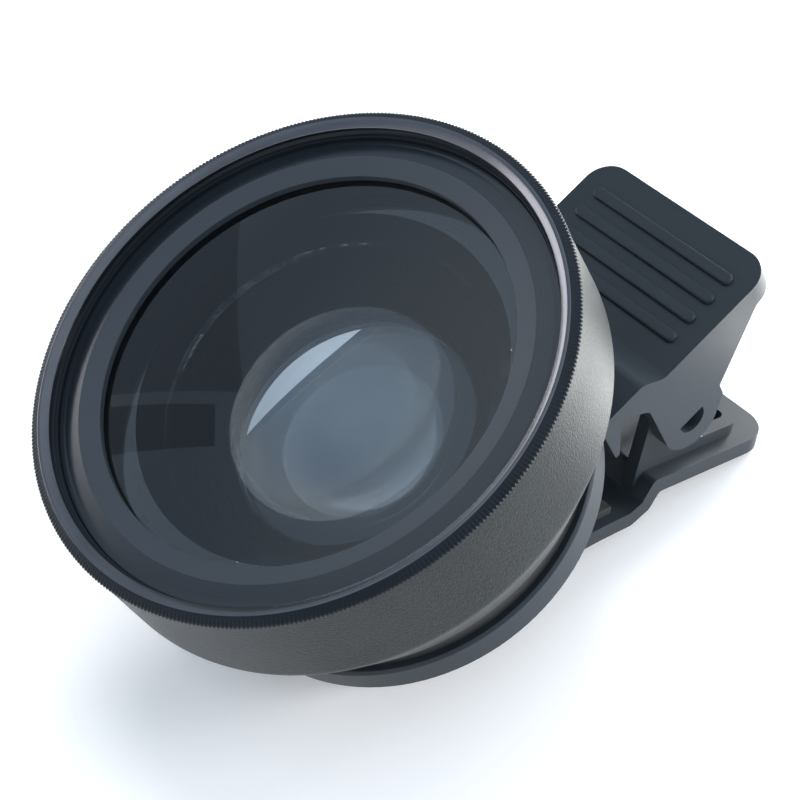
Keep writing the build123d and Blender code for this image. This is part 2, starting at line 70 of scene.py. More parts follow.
# Outlines in the lens frame, where level 0 is the front ring's shoulder. A point is (radius, level)
# or (radius, level, its own round).
FRONT_RING = (
    (26.0, -0.25, 0.04), (26.0, 0.0, 0.12), (25.1, 0.45, 0.1), (24.8, 0.45, 0.1),
    (24.1, 0.05, 0.06), (24.1, -0.85, 0.02), (23.8, -0.85), (23.8, -3.05, 0.1),
    (24.95, -3.05, 0.1), (24.95, -0.25, 0.02),
)
FRONT_RING_STEPS = 2
TRIM_RING = (
    (23.75, -1.25, 0.05), (23.15, -1.25, 0.08), (21.65, -0.95, 0.05),
    (19.8, -1.5, 0.05), (19.8, -2.2, 0.02), (23.75, -2.2, 0.05),
)
BELL_OUTSIDE = (
    (25.0, -0.25, 0.02), (25.85, -0.25, 0.03), (25.85, -10.4, 0.45), (21.8, -18.3, 0.2),
    (18.45, -18.3, 0.0), (18.45, -20.8, 0.25), (16.6, -20.8, 0.15), (16.6, -16.8, 0.02),
    (15.2, -16.8, 0.04), (15.2, -15.6, 0.05),
)
BELL_MOUTH = ((23.6, -8.4, 0.02), (23.6, -3.05, 0.05), (25.0, -3.05, 0.02))
MACRO_BARREL = (
    (18.5, -18.3, 0.1), (19.7, -18.3, 0.12), (19.7, -23.2, 0.12), (18.45, -23.2, 0.0),
    (18.45, -26.3, 0.25), (16.2, -26.3, 0.15), (16.2, -22.0, 0.02), (14.6, -22.0, 0.05),
    (14.6, -21.0, 0.05), (18.5, -21.0, 0.0),
)
RING_PAD = ((18.6, -26.3, 0.05), (19.6, -26.3, 0.05), (19.6, -27.1, 0.25), (18.6, -27.1, 0.25))

# The bell's bore widens forwards in steps
BORE_STEPS = 5
BORE_RADIUS = 15.2
BORE_LEVEL = -15.6
STEP_WIDTH = 1.3
STEP_RISE = 1.44
STEP_ROUNDS = (0.04, 0.05)

# Stretches of an outline that get extra points: their spacing, lowest and highest level, least and
# greatest radius
FRONT_RING_DENSE = ((0.09, -0.84, 0.02, 24.0, 24.2), (0.2, -0.25, 0.45, 25.0, 26.1))
BELL_DENSE = ((0.09, -20.6, -18.3, 18.4, 18.5), (1.2, -20.8, -0.2, 20.0, 26.0))
MACRO_DENSE = ((0.09, -26.1, -18.3, 18.4, 18.55),)

# Zones of the knurl and the threads. The ridges fade in over the first fade and out over the second.
KNURL = {"low": -1.0, "high": 0.44, "inner": 25.0, "outer": 26.1, "fade": (0.01, 0.34)}
FILTER_THREAD = {"low": -0.84, "high": 0.03, "inner": 24.05, "outer": 24.15, "fade": (0.05, 0.12)}
BELL_THREAD = {"low": -20.75, "high": -18.4, "inner": 18.3, "outer": 18.5, "fade": (0.2, 0.3)}
CLIP_THREAD = {"low": -26.2, "high": -23.3, "inner": 18.3, "outer": 18.475, "fade": (0.2, 0.3)}
SOCKET_THREAD = {"low": -20.95, "high": -18.35, "inner": 18.475, "outer": 18.6, "fade": (0.2, 0.3)}
INSIDE_THREAD_SHARE = 0.8

# Glass elements: node, body, front and back face as (radius, level of its edge, rise of its middle),
# and outer radius
ELEMENTS = (
    ("front_glass", "wide", (19.8, -2.2, 1.3), (17.6, -8.4, 5.7), 23.55),
    ("rear_glass", "wide", (15.15, -16.8, 3.0), (14.6, -18.8, -0.9), 16.55),
    ("macro_glass", "macro", (14.55, -22.0, 1.2), (14.2, -23.8, -1.7), 16.15),
)
GROUND_EDGE = 0.15
DOME_STEPS = 40
GLASS_SHARP_ANGLE = radians(12)

# A corner flatter than this isn't rounded, and of each side's length a round takes at most this share
FLATTEST_CORNER = radians(172)
CORNER_SHARE = 0.45
TINY = 1e-9
ON_AXIS = 1e-6


# ---------------------------------------------------------------- moulded pieces and spring

# Distance and angle that tidy the copied meshes, and the sharpest bend that stays without an edge
MERGE_DISTANCE = 2e-6
FLAT_ANGLE = radians(0.6)
EDGE_ANGLE = radians(32)
PAD_EDGE = 0.00025
PAD_EDGE_STEPS = 3

# Hinge in the lens frame, and where the spring's legs touch the two finger plates, in millimetres.
# The lower touch is given along and across the lower plate, which slopes.
HINGE = (25.65, -36.05)
UPPER_TOUCH = (10.4, 6.92)
LOWER_TOUCH = (8.6, -6.02)
HANDLE_SLOPE = radians(35.45)
LEG_STEPS = 6
HALF_TURN_STEPS = 24
ARC_STEP = 7.5
FEWEST_ARC_STEPS = 6

# Softened ends of the wire, as shares of its radius
WIRE_END_SCALE = 0.7
WIRE_END_LENGTH = 0.3
WIRE_SIDES = 16


# ---------------------------------------------------------------- studio

PAPER_DARK = (0.97, 0.955, 0.945)
PAPER_LIGHT = (0.985, 0.97, 0.96)

# The floor's own light rises by this factor between two distances from the middle, in metres
GLOW_NEAR = 0.25
GLOW_FAR = 0.8
GLOW_RISE = 3.5

# Surroundings, from the floor to overhead: where the shade lies, its share of the level, its colour
HORIZON = (0.05, 1.0, (0.96, 0.985, 1.0))
MIDDLE = (0.62, 0.6, (0.62, 0.78, 1.0))
ZENITH = (1.0, 1.0, (0.72, 0.86, 1.0))

# Cards that only reflections show: name, colour, strength and corners in metres
CARDS = (
    ("dark_card_high", (0.62, 0.78, 1.0), 0.44,
     ((-0.05, 0.72, 0.24), (0.0, 0.617, 0.403), (-0.208, 0.463, 0.523), (-0.26, 0.6, 0.36))),
    ("dark_card_low", (0.62, 0.78, 1.0), 0.38,
     ((-0.275, 0.6, 0.36), (-0.23, 0.477, 0.501), (-0.271, 0.444, 0.511), (-0.32, 0.55, 0.38))),
    ("bounce_card", (0.97, 1.0, 1.0), 5.5,
     ((0.042, -0.045, 0.0005), (0.17, -0.06, 0.0005), (0.17, 0.11, 0.0005), (0.045, 0.11, 0.0005))),
    ("dark_floor_card", (0.8, 0.9, 1.0), 0.3,
     ((-2.0, 0.16, 0.0005), (0.3, 0.16, 0.0005), (0.3, 2.9, 0.0005), (-2.0, 2.9, 0.0005))),
    ("dark_card_back", (0.8, 0.9, 1.0), 0.25,
     ((0.08, 0.72, 0.0), (0.6, 0.4, 0.0), (0.6, 0.4, 0.33), (0.08, 0.72, 0.33))),
    ("bright_card_back", (0.97, 0.97, 1.0), 4.0,
     ((-0.5, 0.5, 0.045), (-0.04, 0.7, 0.045), (-0.04, 0.7, 0.3), (-0.5, 0.5, 0.3))),
)

# Soft lights: name, place and width in metres, share of the key light's power, shown in reflections
LIGHTS = (
    ("key_light", (0.7, -0.5, 0.2), 0.45, 1.0, True),
    ("side_light", (0.85, 0.22, 0.13), 0.4, 1.2, True),
    ("top_light", (0.1, 0.25, 0.85), 0.4, 0.3, False),
)

# Camera in the lens frame, in millimetres: its place, the directions of its picture, and its lens
CAMERA_PLACE = (-17.33, -110.95, 133.46)
CAMERA_RIGHT = (0.7042, -0.6163, -0.3525)
CAMERA_DOWN = (-0.6998, -0.5186, -0.4913)
CAMERA_FORWARD = (0.1200, 0.5927, -0.7965)
CAMERA_LENS = 90.0
CAMERA_SENSOR = 36.0


# ---------------------------------------------------------------- settings


def metres(name, description, default, low, high):
    """Length setting, in metres."""
    return FloatProperty(
        name=name, description=description, default=default, min=low, max=high, unit="LENGTH", precision=5
    )


def tone(finish, shade, place, colour):
    """Colour setting for one shade of a finish."""
    return FloatVectorProperty(
        name=finish + " " + shade, description=shade + " tone of " + place,
        default=colour, size=3, subtype="COLOR", min=0.0, max=1.0,
    )


class CLIPLENS_PG_turned(PropertyGroup):
    """Sizes of the turned pieces"""

    segments: IntProperty(
        name="Segments", description="Steps round a turned piece", default=256, min=64, max=1024
    )
    edge_round: metres("Edge Round", "Radius of the softened edges of turned pieces", 0.00006, 0.0, 0.0005)
    tooth_count: IntProperty(
        name="Knurl Teeth", description="Straight teeth round the front ring",
        default=420, min=60, max=600,
    )
    tooth_depth: metres("Knurl Depth", "Depth of the teeth of the front ring", 0.00016, 0.0, 0.0008)
    thread_pitch: metres("Thread Pitch", "Rise of each screw thread in one turn", 0.00075, 0.0003, 0.002)
    thread_depth: metres("Thread Depth", "Depth of each screw thread's groove", 0.0003, 0.0, 0.0006)


class CLIPLENS_PG_clip(PropertyGroup):
    """Sizes of the moulded arms and the spring"""

    edge_width: metres(
        "Edge Width", "Width of the softened edges of the moulded arms", 0.00016, 0.0, 0.0005
    )
    edge_steps: IntProperty(
        name="Edge Steps", description="Steps across a softened edge", default=2, min=1, max=4
    )
    wire_radius: metres("Wire Radius", "Radius of the spring's wire", 0.0005, 0.0002, 0.0008)
    coil_radius: metres(
        "Coil Radius", "Radius of the coil, to the middle of the wire", 0.00345, 0.002, 0.006
    )
    coil_pitch: metres("Coil Pitch", "Rise of the coil in one turn", 0.00115, 0.0008, 0.003)
    coil_turns: IntProperty(
        name="Coil Turns", description="Whole turns of the coil", default=6, min=2, max=12
    )


class CLIPLENS_PG_finish(PropertyGroup):
    """Dark and light tone of each finish"""

    gloss_dark: tone("Gloss", "Dark", "the front ring and the trim ring", (0.009, 0.012, 0.016))
    gloss_light: tone("Gloss", "Light", "the front ring and the trim ring", (0.016, 0.02, 0.026))
    cut_dark: tone("Cut Edge", "Dark", "the front ring's bright bevel", (0.12, 0.12, 0.132))
    cut_light: tone("Cut Edge", "Light", "the front ring's bright bevel", (0.17, 0.17, 0.185))
    # The facet tones are lighter than the gloss tones as painted light: they stand in for the light the
    # inner facet catches.
    facet_dark: tone("Facet", "Dark", "the trim ring's inner facet", (0.034, 0.042, 0.052))
    facet_light: tone("Facet", "Light", "the trim ring's inner facet", (0.04, 0.049, 0.06))
    bell_dark: tone("Bell", "Dark", "the blasted bell", (0.002, 0.004, 0.004))
    bell_light: tone("Bell", "Light", "the blasted bell", (0.018, 0.023, 0.023))
    bore_dark: tone("Bore", "Dark", "the stepped bore", (0.004, 0.005, 0.006))
    bore_light: tone("Bore", "Light", "the stepped bore", (0.006, 0.0075, 0.009))
    satin_dark: tone("Satin", "Dark", "the macro barrel and the retainers", (0.012, 0.013, 0.014))
    satin_light: tone("Satin", "Light", "the macro barrel and the retainers", (0.022, 0.024, 0.025))
    plastic_dark: tone("Plastic", "Dark", "the clip's arms", (0.024, 0.03, 0.037))
    plastic_light: tone("Plastic", "Light", "the clip's arms", (0.034, 0.042, 0.05))
    rubber_dark: tone("Rubber", "Dark", "the soft pads", (0.018, 0.018, 0.019))
    rubber_light: tone("Rubber", "Light", "the soft pads", (0.03, 0.03, 0.031))
    steel_dark: tone("Steel", "Dark", "the spring's wire", (0.42, 0.43, 0.44))
    steel_light: tone("Steel", "Light", "the spring's wire", (0.6, 0.61, 0.62))
    glass_dark: tone("Glass", "Dark", "the coated glass", (0.8, 0.86, 0.9))
    glass_light: tone("Glass", "Light", "the coated glass", (0.84, 0.89, 0.93))


class CLIPLENS_PG_stage(PropertyGroup):
    """Sizes and levels of the studio"""

    floor_size: FloatProperty(
        name="Floor Size", description="Side of the square floor",
        default=40.0, min=1.0, max=100.0, unit="LENGTH",
    )
    horizon_level: FloatProperty(
        name="Horizon Level", description="Brightness of the surroundings at the floor",
        default=1.2, min=0.0, max=4.0,
    )
    zenith_level: FloatProperty(
        name="Zenith Level", description="Brightness of the surroundings overhead",
        default=1.0, min=0.0, max=4.0,
    )
    floor_glow: FloatProperty(
        name="Floor Glow", description="Light of the floor itself, which keeps its shadow pale",
        default=0.2, min=0.0, max=1.0,
    )
    key_power: FloatProperty(
        name="Key Power", description="Power of the large soft light", default=9.0, min=0.0, max=100.0
    )
    backdrop: FloatVectorProperty(
        name="Backdrop", description="Colour behind the object",
        default=(1.0, 1.0, 1.0), size=3, subtype="COLOR",
    )


# ---------------------------------------------------------------- meshes


def dome(width, rim, rise):
    """Spherical face from its middle on the lens axis out to its edge."""
    curve = (width * width + rise * rise) / (2 * rise)
    points = []
    for i in range(DOME_STEPS + 1):
        radius = width * i / DOME_STEPS
        drop = curve - (1 if curve > 0 else -1) * sqrt(curve * curve - radius * radius)
        points.append((radius, rim + rise - drop))
    return points


def softened(outline, radius, closed=True, steps=3):
    """Outline with its corners rounded, each by its own round or by the given radius."""
    count = len(outline)
    result = []
    for i, point in enumerate(outline):
        here = Vector(point[:2])
        size = point[2] if len(point) > 2 else radius
        on_end = not closed and i in (0, count - 1)
        before = Vector(outline[i - 1][:2]) - here
        after = Vector(outline[(i + 1) % count][:2]) - here
        if on_end or size <= 0 or before.length < TINY or after.length < TINY:
            result.append(tuple(here))
            continue
        if before.angle(after) > FLATTEST_CORNER:
            result.append(tuple(here))
            continue
        reach = min(size, CORNER_SHARE * before.length, CORNER_SHARE * after.length)
        first = here + before.normalized() * reach
        last = here + after.normalized() * reach
        for k in range(steps + 1):
            t = k / steps
            result.append(tuple(first * (1 - t) ** 2 + here * 2 * t * (1 - t) + last * t * t))
    return result


def filled(outline, spacing, low, high, inner, outer):
    """Outline with extra points on the stretches whose middle lies in a zone."""
    result = []
    for i, point in enumerate(outline):
        result.append(point)
        after = outline[(i + 1) % len(outline)]
        middle = ((point[0] + after[0]) / 2, (point[1] + after[1]) / 2)
        length = hypot(after[0] - point[0], after[1] - point[1])
        if low <= middle[1] <= high and inner <= middle[0] <= outer and length > spacing:
            pieces = int(length / spacing) + 1
            for k in range(1, pieces):
                t = k / pieces
                result.append((point[0] + (after[0] - point[0]) * t, point[1] + (after[1] - point[1]) * t))
    return result


def finished_outline(outline, radius, dense=(), steps=3):
    """Outline with its corners rounded and with extra points where its ridges come."""
    result = softened(outline, radius, steps=steps)
    for stretch in dense:
        result = filled(result, *stretch)
    return result


def bell_outline():
    """Outline of the bell: outside, rear thread, and back along the stepped bore to its mouth."""
    outline = list(BELL_OUTSIDE)
    for step in range(BORE_STEPS):
        radius = BORE_RADIUS + STEP_WIDTH * (step + 1)
        outline += [
            (radius, BORE_LEVEL + STEP_RISE * step, STEP_ROUNDS[0]),
            (radius, BORE_LEVEL + STEP_RISE * (step + 1), STEP_ROUNDS[1]),
        ]
    return outline + list(BELL_MOUTH)


def placed(name, data):
    """New object with that data, linked to the scene."""
    obj = bpy.data.objects.new(name, data)
    bpy.context.scene.collection.objects.link(obj)
    return obj


def meshed(name, bm):
    """New object from mesh data under construction, with its faces turned outwards."""
    bmesh.ops.recalc_face_normals(bm, faces=bm.faces)
    mesh = bpy.data.meshes.new(name)
    bm.to_mesh(mesh)
    bm.free()
    return placed(name, mesh)


def lathe(name, outline, segments):
    """Object turned about the lens axis, in the lens frame, from a closed outline in millimetres.

    UV: U goes once round the piece and V along the outline.
    """
    bm = bmesh.new()
    uv_layer = bm.loops.layers.uv.new("UVMap")
    count = len(outline)
    lengths = [0.0]
    for i in range(count):
        after = outline[(i + 1) % count]
        lengths.append(lengths[-1] + hypot(after[0] - outline[i][0], after[1] - outline[i][1]))
    rows = []
    for radius, level in outline:
        if radius < ON_AXIS:
            rows.append([bm.verts.new((0, 0, level * MM))] * segments)
            continue
        row = []
        for s in range(segments):
            angle = tau * s / segments
            row.append(bm.verts.new((radius * MM * cos(angle), radius * MM * sin(angle), level * MM)))
        rows.append(row)
    for i in range(count):
        near, far = rows[i], rows[(i + 1) % count]
        if near[0] is near[1] and far[0] is far[1]:
            continue
        for s in range(segments):
            t = (s + 1) % segments
            corners = [(near[s], s, i), (near[t], s + 1, i), (far[t], s + 1, i + 1), (far[s], s, i + 1)]
            used, kept = set(), []
            for vert, u, v in corners:
                if vert not in used:
                    used.add(vert)
                    kept.append((vert, u, v))
            face = bm.faces.new([k[0] for k in kept])
            face.smooth = True
            for loop, (_, u, v) in zip(face.loops, kept):
                loop[uv_layer].uv = (u / segments, lengths[v] / lengths[-1])
    return meshed(name, bm)


def settle(obj, matrix=None):
    """Turns the object's modifiers into plain mesh and moves its vertices by the matrix."""
    depsgraph = bpy.context.evaluated_depsgraph_get()
    depsgraph.update()
    mesh = bpy.data.meshes.new_from_object(obj.evaluated_get(depsgraph))
    old = obj.data
    obj.modifiers.clear()
    obj.data = mesh
    bpy.data.meshes.remove(old)
    mesh.name = obj.name
    if matrix is not None:
        mesh.transform(matrix)
    mesh.update()


def weighted(obj):
    """Face weighted normals, so that a flat beside a small round still shades as a flat."""
    modifier = obj.modifiers.new("Weighted Normal", "WEIGHTED_NORMAL")
    modifier.weight = 100
    modifier.keep_sharp = True


def dressed(obj, node, body, material, matrix=LENS_TO_SHARED):
    """Last steps of a piece: plain mesh in the shared frame, finish and body, and its CAD node hidden."""
    settle(obj, matrix)
    obj.data.materials.clear()
    obj.data.materials.append(material)
    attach(obj, body)
    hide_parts(node)


# ---------------------------------------------------------------- geometry nodes

RIDGE_INPUTS = {
    "Low": 0.0, "High": 0.0, "Fade Low": 0.0001, "Fade High": 0.0001, "Inner": 0.0, "Outer": 0.0,
    "Teeth": 1.0, "Turns Per Metre": 0.0, "Depth": 0.0,
}


def ridge_tree():
    """Node group that cuts a wave of teeth or thread turns into one zone of a turned piece."""
    tree = bpy.data.node_groups.new("Turned Ridges", "GeometryNodeTree")
    face = tree.interface
    face.new_socket(name="Geometry", in_out="INPUT", socket_type="NodeSocketGeometry")
    for name, default in RIDGE_INPUTS.items():
        face.new_socket(name=name, in_out="INPUT", socket_type="NodeSocketFloat").default_value = default
    face.new_socket(name="Finish", in_out="INPUT", socket_type="NodeSocketMaterial")
    face.new_socket(name="Geometry", in_out="OUTPUT", socket_type="NodeSocketGeometry")
    nodes, links = tree.nodes, tree.links
    given = nodes.new("NodeGroupInput").outputs
    target = nodes.new("NodeGroupOutput")

    def math(operation, *values, clamp=False):
        node = nodes.new("ShaderNodeMath")
        node.operation = operation
        node.use_clamp = clamp
        for index, value in enumerate(values):
            if isinstance(value, (int, float)):
                node.inputs[index].default_value = value
            else:
                links.new(value, node.inputs[index])
        return node.outputs[0]

    place = nodes.new("GeometryNodeInputPosition")
    split = nodes.new("ShaderNodeSeparateXYZ")
    links.new(place.outputs[0], split.inputs[0])
    x, y, z = split.outputs
    radius = math("SQRT", math("ADD", math("MULTIPLY", x, x), math("MULTIPLY", y, y)))
    angle = math("DIVIDE", math("ARCTAN2", y, x), tau)
    phase = math(
        "ADD", math("MULTIPLY", angle, given["Teeth"]), math("MULTIPLY", z, given["Turns Per Metre"])
    )
    wave = math("MULTIPLY", math("PINGPONG", phase, 0.5), 2.0)
    rise = math("DIVIDE", math("SUBTRACT", z, given["Low"]), given["Fade Low"], clamp=True)
    fall = math("DIVIDE", math("SUBTRACT", given["High"], z), given["Fade High"], clamp=True)
    inside = math(
        "MULTIPLY", math("GREATER_THAN", radius, given["Inner"]), math("LESS_THAN", radius, given["Outer"])
    )
    zone = math("MULTIPLY", math("MULTIPLY", rise, fall), inside)
    amount = math("MULTIPLY", math("MULTIPLY", wave, given["Depth"]), zone)
    share = math("DIVIDE", amount, math("MAXIMUM", radius, ON_AXIS))
    offset = nodes.new("ShaderNodeCombineXYZ")
    links.new(math("MULTIPLY", x, share), offset.inputs[0])
    links.new(math("MULTIPLY", y, share), offset.inputs[1])
    move = nodes.new("GeometryNodeSetPosition")
    links.new(given["Geometry"], move.inputs["Geometry"])
    links.new(offset.outputs[0], move.inputs["Offset"])
    real = nodes.new("GeometryNodeRealizeInstances")
    links.new(move.outputs[0], real.inputs[0])
    finish = nodes.new("GeometryNodeSetMaterial")
    links.new(real.outputs[0], finish.inputs["Geometry"])
    links.new(given["Finish"], finish.inputs["Material"])
    links.new(finish.outputs[0], target.inputs["Geometry"])
    return tree


def add_ridges(obj, zone, depth, material, teeth=1, pitch=None):
    """Ridges in one zone of a turned piece. A negative depth in metres cuts towards the axis."""
    tree = bpy.data.node_groups.get("Turned Ridges") or ridge_tree()
    modifier = obj.modifiers.new("Ridges", "NODES")
    modifier.node_group = tree
    values = {
        "Low": zone["low"] * MM, "High": zone["high"] * MM,
        "Fade Low": zone["fade"][0] * MM, "Fade High": zone["fade"][1] * MM,
        "Inner": zone["inner"] * MM, "Outer": zone["outer"] * MM,
        "Teeth": float(teeth), "Turns Per Metre": 0.0 if pitch is None else 1.0 / pitch,
        "Depth": depth, "Finish": material,
    }
    for item in tree.interface.items_tree:
        if item.item_type == "SOCKET" and item.in_out == "INPUT" and item.name in values:
            modifier[item.identifier] = values[item.name]


# ---------------------------------------------------------------- finishes

# Between these two lie most values of a noise
NOISE_LOW, NOISE_HIGH = 0.3, 0.7

# Fine marks that run round a turned piece: along its UV, and across the lens axis
TURNING_MARKS = (2.0, 1400.0, 1.0)
AXIS_MARKS = (20.0, 20.0, 9000.0)
DRAWN_MARKS = (6.0, 400.0, 1.0)


class Shader:
    """Small helper that adds nodes to one material's tree."""

    def __init__(self, name):
        self.material = bpy.data.materials.new("finish_" + name)
        self.material.use_nodes = True
        self.tree = self.material.node_tree
        self.tree.nodes.clear()
        out = self.node("ShaderNodeOutputMaterial")
        self.principled = self.node("ShaderNodeBsdfPrincipled")
        self.link(self.principled.outputs[0], out.inputs["Surface"])
        coordinates = self.node("ShaderNodeTexCoord")
        self.place = coordinates.outputs["Object"]
        self.uv = coordinates.outputs["UV"]

    def link(self, source, target):
        self.tree.links.new(source, target)

    def node(self, kind, **settings):
        node = self.tree.nodes.new(kind)
        for key, value in settings.items():
            setattr(node, key, value)
        return node

    def mapped(self, source, scale, rotation=(0, 0, 0)):
        """Coordinates, turned and stretched."""
        node = self.node("ShaderNodeMapping")
        self.link(source, node.inputs["Vector"])
        node.inputs["Scale"].default_value = scale
        node.inputs["Rotation"].default_value = rotation
        return node.outputs[0]

    def noise(self, vector, scale, detail=3.0, roughness=0.5):
        node = self.node("ShaderNodeTexNoise")
        self.link(vector, node.inputs["Vector"])
        node.inputs["Scale"].default_value = scale
        node.inputs["Detail"].default_value = detail
        node.inputs["Roughness"].default_value = roughness
        return node.outputs["Fac"]

    def specks(self, vector, scale, size):
        """1 in small round specks, 0 elsewhere."""
        node = self.node("ShaderNodeTexVoronoi")
        self.link(vector, node.inputs["Vector"])
        node.inputs["Scale"].default_value = scale
        return self.remap(node.outputs["Distance"], size, size * 0.6, 0.0, 1.0)

    def remap(self, value, low, high, to_low, to_high):
        node = self.node("ShaderNodeMapRange")
        self.link(value, node.inputs["Value"])
        node.inputs["From Min"].default_value = low
        node.inputs["From Max"].default_value = high
        node.inputs["To Min"].default_value = to_low
        node.inputs["To Max"].default_value = to_high
        return node.outputs[0]

    def spread(self, noise, low, high):
        """A noise's usual values, spread from low to high."""
        return self.remap(noise, NOISE_LOW, NOISE_HIGH, low, high)

    def mix(self, factor, dark, light):
        node = self.node("ShaderNodeMix", data_type="RGBA")
        self.link(factor, node.inputs[0])
        node.inputs[6].default_value = (*dark, 1)
        node.inputs[7].default_value = (*light, 1)
        return node.outputs[2]

    def bump(self, height, strength, distance, before=None):
        node = self.node("ShaderNodeBump")
        node.inputs["Strength"].default_value = strength
        node.inputs["Distance"].default_value = distance
        self.link(height, node.inputs["Height"])
        if before is not None:
            self.link(before, node.inputs["Normal"])
        return node.outputs[0]

    def set(self, **values):
        """Sets or links inputs of the surface, whose names have _ for each space."""
        for key, value in values.items():
            target = self.principled.inputs[key.replace("_", " ")]
            if isinstance(value, (int, float)):
                target.default_value = value
            elif isinstance(value, tuple):
                target.default_value = (*value, 1)
            else:
                self.link(value, target)


def tones(kind):
    """Dark and light tone of a finish, from the settings."""
    settings = bpy.context.scene.cliplens_finish
    return getattr(settings, kind + "_dark"), getattr(settings, kind + "_light")


def turned_metal(name, kind, cloud_size, roughness, marks, **values):
    """Turned metal: fine marks round the piece over a faint cloud of two tones."""
    s = Shader(name)
    lines = s.noise(s.mapped(s.uv, TURNING_MARKS), 1.0, 2.0)
    s.set(
        Base_Color=s.mix(s.noise(s.place, *cloud_size), *tones(kind)),
        Roughness=s.spread(lines, *roughness),
        Normal=s.bump(lines, marks, 0.00002),
        **values,
    )
    return s.material


def gloss_black():
    """Anodised black of the front ring."""
    return turned_metal(
        "black_gloss_metal", "gloss", (160.0, 3.0), (0.16, 0.28), 0.08, Specular_IOR_Level=0.14
    )


def trim_gloss():
    """Anodised black of the trim ring, with more shine than the front ring."""
    return turned_metal("trim_gloss", "gloss", (160.0, 3.0), (0.16, 0.28), 0.08, Specular_IOR_Level=0.75)


def cut_edge():
    """Bright diamond-cut face of the front ring's inner bevel."""
    return turned_metal("cut_edge", "cut", (200.0, 2.0), (0.16, 0.28), 0.06, Metallic=0.9)


def satin_facet_painted_light():
    """Duller inner facet of the trim ring. Its satin roughness is real; its lighter tone is painted light,
    standing in for the light the facet catches.
    """
    return turned_metal("satin_facet_painted_light", "facet", (200.0, 2.0), (0.4, 0.55), 0.08, Specular_IOR_Level=0.4)


def blasted_black():
    """Satin bead-blasted finish of the bell."""
    s = Shader("blasted_metal")
    grain = s.noise(s.place, 5200.0, 2.0, 0.6)
    coarse = s.noise(s.place, 2600.0, 2.0, 0.5)
    cloud = s.noise(s.place, 90.0, 3.0)
    fine = s.bump(grain, 0.8, 0.00005)
    s.set(
        Base_Color=s.mix(s.remap(grain, 0.35, 0.65, 0.0, 1.0), *tones("bell")),
        Roughness=s.spread(cloud, 0.34, 0.42),
        Specular_IOR_Level=0.24,
        Normal=s.bump(coarse, 0.3, 0.00004, fine),
    )
    return s.material


def bore_black():
    """Dull black of the stepped bore, which takes up stray light."""
    s = Shader("bore_black")
    grain = s.noise(s.place, 220.0, 2.0)
    s.set(
        Base_Color=s.mix(grain, *tones("bore")),
        Roughness=s.spread(grain, 0.7, 0.8),
        Specular_IOR_Level=0.02,
        Normal=s.bump(grain, 0.02, 0.00002),
    )
    return s.material


def satin_black():
    """Plainer satin black of the macro lens and the threaded retainers."""
    s = Shader("black_satin_metal")
    along_lens = s.mapped(s.place, (1, 1, 1), (0, TILT, 0))
    lines = s.noise(s.mapped(along_lens, AXIS_MARKS), 1.0, 2.0)
    cloud = s.noise(s.place, 120.0, 3.0)
    s.set(
        Base_Color=s.mix(cloud, *tones("satin")),
        Metallic=0.2,
        Roughness=s.spread(lines, 0.32, 0.46),
        Normal=s.bump(lines, 0.1, 0.00003),
    )
    return s.material


def clip_plastic():
    """Moulded black plastic of both arms, with the fine grain of its mould."""
    s = Shader("clip_plastic")
    grain = s.noise(s.place, 5200.0, 3.0, 0.55)
    cloud = s.noise(s.place, 140.0, 4.0)
    s.set(
        Base_Color=s.mix(cloud, *tones("plastic")),
        Roughness=s.spread(cloud, 0.34, 0.46),
        Specular_IOR_Level=0.22,
        Normal=s.bump(grain, 0.22, 0.00003),
    )
    return s.material


def pad_rubber():
    """Dull soft rubber of the ring's pad and the jaw's pad."""
    s = Shader("pad_rubber")
    grain = s.noise(s.place, 3600.0, 3.0, 0.6)
    cloud = s.noise(s.place, 200.0, 3.0)
    s.set(
        Base_Color=s.mix(cloud, *tones("rubber")),
        Roughness=s.spread(grain, 0.72, 0.86),
        Specular_IOR_Level=0.35,
        Normal=s.bump(grain, 0.3, 0.00005),
    )
    return s.material


def spring_steel():
    """Bright drawn wire of the spring, with marks along it."""
    s = Shader("spring_steel")
    drawn = s.noise(s.mapped(s.uv, DRAWN_MARKS), 1.0, 3.0)
    cloud = s.noise(s.place, 400.0, 3.0)
    s.set(
        Base_Color=s.mix(cloud, *tones("steel")),
        Metallic=1.0,
        Roughness=s.spread(drawn, 0.2, 0.34),
        Normal=s.bump(drawn, 0.1, 0.00002),
    )
    return s.material


def lens_glass():
    """Coated glass with a faint blue-grey tint and a few specks of dust."""
    s = Shader("lens_glass")
    cloud = s.noise(s.place, 60.0, 2.0)
    dust = s.specks(s.place, 300.0, 0.03)
    s.set(
        Base_Color=s.mix(cloud, *tones("glass")),
        Transmission_Weight=1.0,
        IOR=1.7,
        Roughness=s.remap(dust, 0.0, 1.0, 0.0, 0.2),
        Normal=s.bump(cloud, 0.004, 0.00001),
    )
    return s.material


FINISHES = {
    "black_gloss_metal": gloss_black,
    "trim_gloss": trim_gloss,
    "cut_edge": cut_edge,
    "satin_facet_painted_light": satin_facet_painted_light,
    "blasted_metal": blasted_black,
    "bore_black": bore_black,
    "black_satin_metal": satin_black,
    "clip_plastic": clip_plastic,
    "pad_rubber": pad_rubber,
    "spring_steel": spring_steel,
    "lens_glass": lens_glass,
}


def finish_of(name):
    """The procedural material of that name, built when it is first asked for."""
    return bpy.data.materials.get("finish_" + name) or FINISHES[name]()


def repaint(obj, name, chosen):
    """Gives a second finish to the faces of a turned piece whose (radius, level) is chosen."""
    obj.data.materials.append(finish_of(name))
    to_lens = LENS_TO_SHARED.inverted()
    for face in obj.data.polygons:
        here = to_lens @ face.center
        if chosen(hypot(here.x, here.y) / MM, here.z / MM):
            face.material_index = 1


def on_cut_edge(radius, level):
    """Inner bevel of the front ring."""
    return 24.12 < radius < 25.08 and level > 0.02


